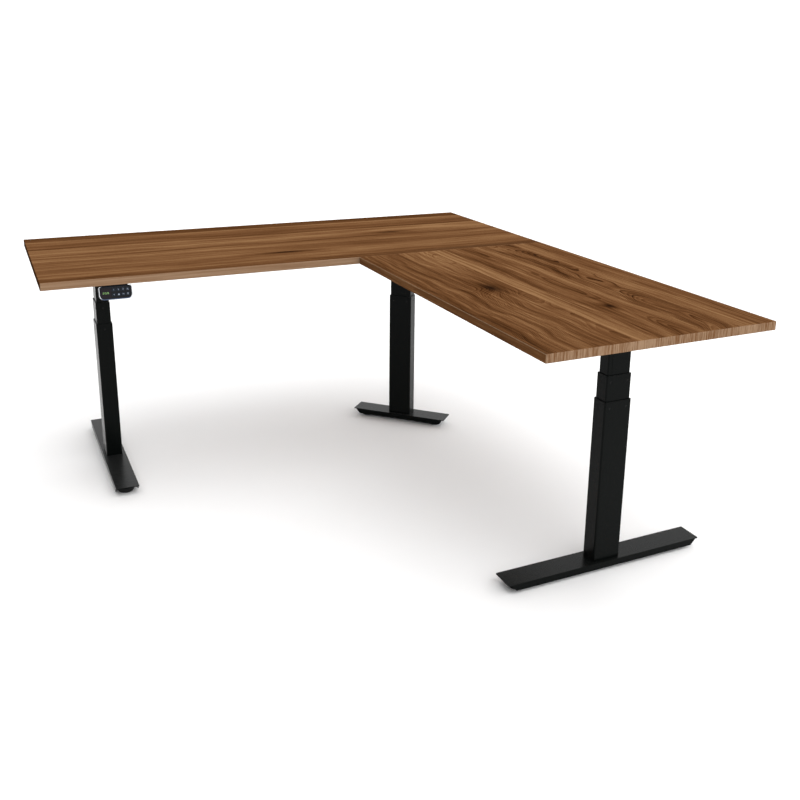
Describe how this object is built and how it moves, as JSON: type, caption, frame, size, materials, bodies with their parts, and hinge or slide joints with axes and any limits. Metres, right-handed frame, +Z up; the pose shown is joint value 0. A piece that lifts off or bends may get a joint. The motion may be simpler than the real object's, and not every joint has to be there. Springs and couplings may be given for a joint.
{
  "type": "height adjustable corner desk",
  "caption": "L-shaped standing desk: walnut main top and return top on a black steel frame with three telescoping electric legs, feet with levelling glides and a keypad.",
  "frame": {"origin": "middle of the desk's footprint, on the floor", "axes": "+Z up, +Y towards the back edge of the main top, +X towards the side with the return top"},
  "size_m": [1.829, 1.9816, 0.784],
  "materials": {
    "walnut": "satin",
    "powder_coat": "satin",
    "glide_plastic": "matte",
    "guide_plastic": "satin",
    "bare_steel": "satin",
    "motor_housing": "satin",
    "zinc_steel": "satin",
    "box_plastic": "matte",
    "keypad_case": "satin",
    "keypad_gloss": "gloss",
    "key_plastic": "satin"
  },
  "bodies": {
    "left_base": {"left_foot": "powder_coat", "left_outer_tube": "powder_coat", "left_outer_guide": "guide_plastic", "left_lift_post": "bare_steel"},
    "left_middle": {"left_middle_tube": "powder_coat", "left_middle_guides": "guide_plastic", "left_spindle_support": "bare_steel"},
    "left_outer_screw": {"left_hollow_spindle": "bare_steel"},
    "left_inner_screw": {"left_drive_spindle": "bare_steel"},
    "left_glide_a": {"left_glide_a": "glide_plastic"},
    "left_glide_b": {"left_glide_b": "glide_plastic"},
    "corner_base": {"corner_foot": "powder_coat", "corner_outer_tube": "powder_coat", "corner_outer_guide": "guide_plastic", "corner_lift_post": "bare_steel"},
    "corner_middle": {"corner_middle_tube": "powder_coat", "corner_middle_guides": "guide_plastic", "corner_spindle_support": "bare_steel"},
    "corner_outer_screw": {"corner_hollow_spindle": "bare_steel"},
    "corner_inner_screw": {"corner_drive_spindle": "bare_steel"},
    "corner_glide_a": {"corner_glide_a": "glide_plastic"},
    "corner_glide_b": {"corner_glide_b": "glide_plastic"},
    "right_base": {"right_foot": "powder_coat", "right_outer_tube": "powder_coat", "right_outer_guide": "guide_plastic", "right_lift_post": "bare_steel"},
    "right_middle": {"right_middle_tube": "powder_coat", "right_middle_guides": "guide_plastic", "right_spindle_support": "bare_steel"},
    "right_outer_screw": {"right_hollow_spindle": "bare_steel"},
    "right_inner_screw": {"right_drive_spindle": "bare_steel"},
    "right_glide_a": {"right_glide_a": "glide_plastic"},
    "right_glide_b": {"right_glide_b": "glide_plastic"},
    "key_preset_1": {"key_preset_1": "key_plastic"},
    "key_preset_2": {"key_preset_2": "key_plastic"},
    "key_preset_3": {"key_preset_3": "key_plastic"},
    "key_up": {"key_up": "key_plastic"},
    "key_preset_4": {"key_preset_4": "key_plastic"},
    "key_lock": {"key_lock": "key_plastic"},
    "key_memory": {"key_memory": "key_plastic"},
    "key_down": {"key_down": "key_plastic"},
    "desktop": {"beam_extensions": "powder_coat", "control_box": "box_plastic", "control_box_lid": "box_plastic", "corner_hub": "powder_coat", "corner_inner_tube": "powder_coat", "frame_fasteners": "zinc_steel", "gear_motors": "motor_housing", "inner_guides": "guide_plastic", "keypad_case": "keypad_case", "keypad_face": "keypad_gloss", "left_bracket": "powder_coat", "left_inner_tube": "powder_coat", "main_beam": "powder_coat", "main_top": "walnut", "return_beam": "powder_coat", "return_top": "walnut", "right_bracket": "powder_coat", "right_inner_tube": "powder_coat", "seam_plates": "zinc_steel"}
  },
  "joints": [
    {"name": "lift", "type": "slide", "parent": "left_base", "child": "left_middle", "axis": [0, 0, 1], "range_m": [-0.075, 0.25]},
    {"name": "left_upper_stage", "type": "slide", "parent": "left_middle", "child": "desktop", "axis": [0, 0, 1], "range_m": [-0.075, 0.25]},
    {"name": "corner_upper_stage", "type": "slide", "parent": "desktop", "child": "corner_middle", "axis": [0, 0, -1], "range_m": [-0.075, 0.25]},
    {"name": "corner_lower_stage", "type": "slide", "parent": "corner_middle", "child": "corner_base", "axis": [0, 0, -1], "range_m": [-0.075, 0.25]},
    {"name": "right_upper_stage", "type": "slide", "parent": "desktop", "child": "right_middle", "axis": [0, 0, -1], "range_m": [-0.075, 0.25]},
    {"name": "right_lower_stage", "type": "slide", "parent": "right_middle", "child": "right_base", "axis": [0, 0, -1], "range_m": [-0.075, 0.25]},
    {"name": "left_outer_screw_turn", "type": "hinge", "parent": "left_middle", "child": "left_outer_screw", "pos_m": [-0.6945, 0.60975, 0.6], "axis": [0, 0, 1], "range_deg": [-4505, 15015]},
    {"name": "left_inner_screw_turn", "type": "hinge", "parent": "desktop", "child": "left_inner_screw", "pos_m": [-0.6945, 0.60975, 0.6], "axis": [0, 0, 1], "range_deg": [-4505, 15015]},
    {"name": "corner_outer_screw_turn", "type": "hinge", "parent": "corner_middle", "child": "corner_outer_screw", "pos_m": [0.4685, 0.54475, 0.6], "axis": [0, 0, 1], "range_deg": [-4505, 15015]},
    {"name": "corner_inner_screw_turn", "type": "hinge", "parent": "desktop", "child": "corner_inner_screw", "pos_m": [0.4685, 0.54475, 0.6], "axis": [0, 0, 1], "range_deg": [-4505, 15015]},
    {"name": "right_outer_screw_turn", "type": "hinge", "parent": "right_middle", "child": "right_outer_screw", "pos_m": [0.5335, -0.77575, 0.6], "axis": [0, 0, 1], "range_deg": [-4505, 15015]},
    {"name": "right_inner_screw_turn", "type": "hinge", "parent": "desktop", "child": "right_inner_screw", "pos_m": [0.5335, -0.77575, 0.6], "axis": [0, 0, 1], "range_deg": [-4505, 15015]},
    {"name": "left_glide_a_screw", "type": "slide", "parent": "left_base", "child": "left_glide_a", "axis": [0, 0, -1], "range_m": [0, 0.01]},
    {"name": "left_glide_b_screw", "type": "slide", "parent": "left_base", "child": "left_glide_b", "axis": [0, 0, -1], "range_m": [0, 0.01]},
    {"name": "corner_glide_a_screw", "type": "slide", "parent": "corner_base", "child": "corner_glide_a", "axis": [0, 0, -1], "range_m": [0, 0.01]},
    {"name": "corner_glide_b_screw", "type": "slide", "parent": "corner_base", "child": "corner_glide_b", "axis": [0, 0, -1], "range_m": [0, 0.01]},
    {"name": "right_glide_a_screw", "type": "slide", "parent": "right_base", "child": "right_glide_a", "axis": [0, 0, -1], "range_m": [0, 0.01]},
    {"name": "right_glide_b_screw", "type": "slide", "parent": "right_base", "child": "right_glide_b", "axis": [0, 0, -1], "range_m": [0, 0.01]},
    {"name": "key_preset_1_press", "type": "slide", "parent": "desktop", "child": "key_preset_1", "axis": [0, 0.9659, -0.2588], "range_m": [0, 0.0005], "stiffness_N_per_m": 800, "springref_m": -0.001},
    {"name": "key_preset_2_press", "type": "slide", "parent": "desktop", "child": "key_preset_2", "axis": [0, 0.9659, -0.2588], "range_m": [0, 0.0005], "stiffness_N_per_m": 800, "springref_m": -0.001},
    {"name": "key_preset_3_press", "type": "slide", "parent": "desktop", "child": "key_preset_3", "axis": [0, 0.9659, -0.2588], "range_m": [0, 0.0005], "stiffness_N_per_m": 800, "springref_m": -0.001},
    {"name": "key_up_press", "type": "slide", "parent": "desktop", "child": "key_up", "axis": [0, 0.9659, -0.2588], "range_m": [0, 0.0005], "stiffness_N_per_m": 800, "springref_m": -0.001},
    {"name": "key_preset_4_press", "type": "slide", "parent": "desktop", "child": "key_preset_4", "axis": [0, 0.9659, -0.2588], "range_m": [0, 0.0005], "stiffness_N_per_m": 800, "springref_m": -0.001},
    {"name": "key_lock_press", "type": "slide", "parent": "desktop", "child": "key_lock", "axis": [0, 0.9659, -0.2588], "range_m": [0, 0.0005], "stiffness_N_per_m": 800, "springref_m": -0.001},
    {"name": "key_memory_press", "type": "slide", "parent": "desktop", "child": "key_memory", "axis": [0, 0.9659, -0.2588], "range_m": [0, 0.0005], "stiffness_N_per_m": 800, "springref_m": -0.001},
    {"name": "key_down_press", "type": "slide", "parent": "desktop", "child": "key_down", "axis": [0, 0.9659, -0.2588], "range_m": [0, 0.0005], "stiffness_N_per_m": 800, "springref_m": -0.001}
  ],
  "couplings": [
    {"joint": "left_upper_stage", "follows": "lift", "ratio": 1},
    {"joint": "corner_upper_stage", "follows": "lift", "ratio": 1},
    {"joint": "corner_lower_stage", "follows": "lift", "ratio": 1},
    {"joint": "right_upper_stage", "follows": "lift", "ratio": 1},
    {"joint": "right_lower_stage", "follows": "lift", "ratio": 1},
    {"joint": "left_outer_screw_turn", "follows": "lift", "rad_per_m": 1047.2},
    {"joint": "left_inner_screw_turn", "follows": "lift", "rad_per_m": 1047.2},
    {"joint": "corner_outer_screw_turn", "follows": "lift", "rad_per_m": 1047.2},
    {"joint": "corner_inner_screw_turn", "follows": "lift", "rad_per_m": 1047.2},
    {"joint": "right_outer_screw_turn", "follows": "lift", "rad_per_m": 1047.2},
    {"joint": "right_inner_screw_turn", "follows": "lift", "rad_per_m": 1047.2}
  ]
}
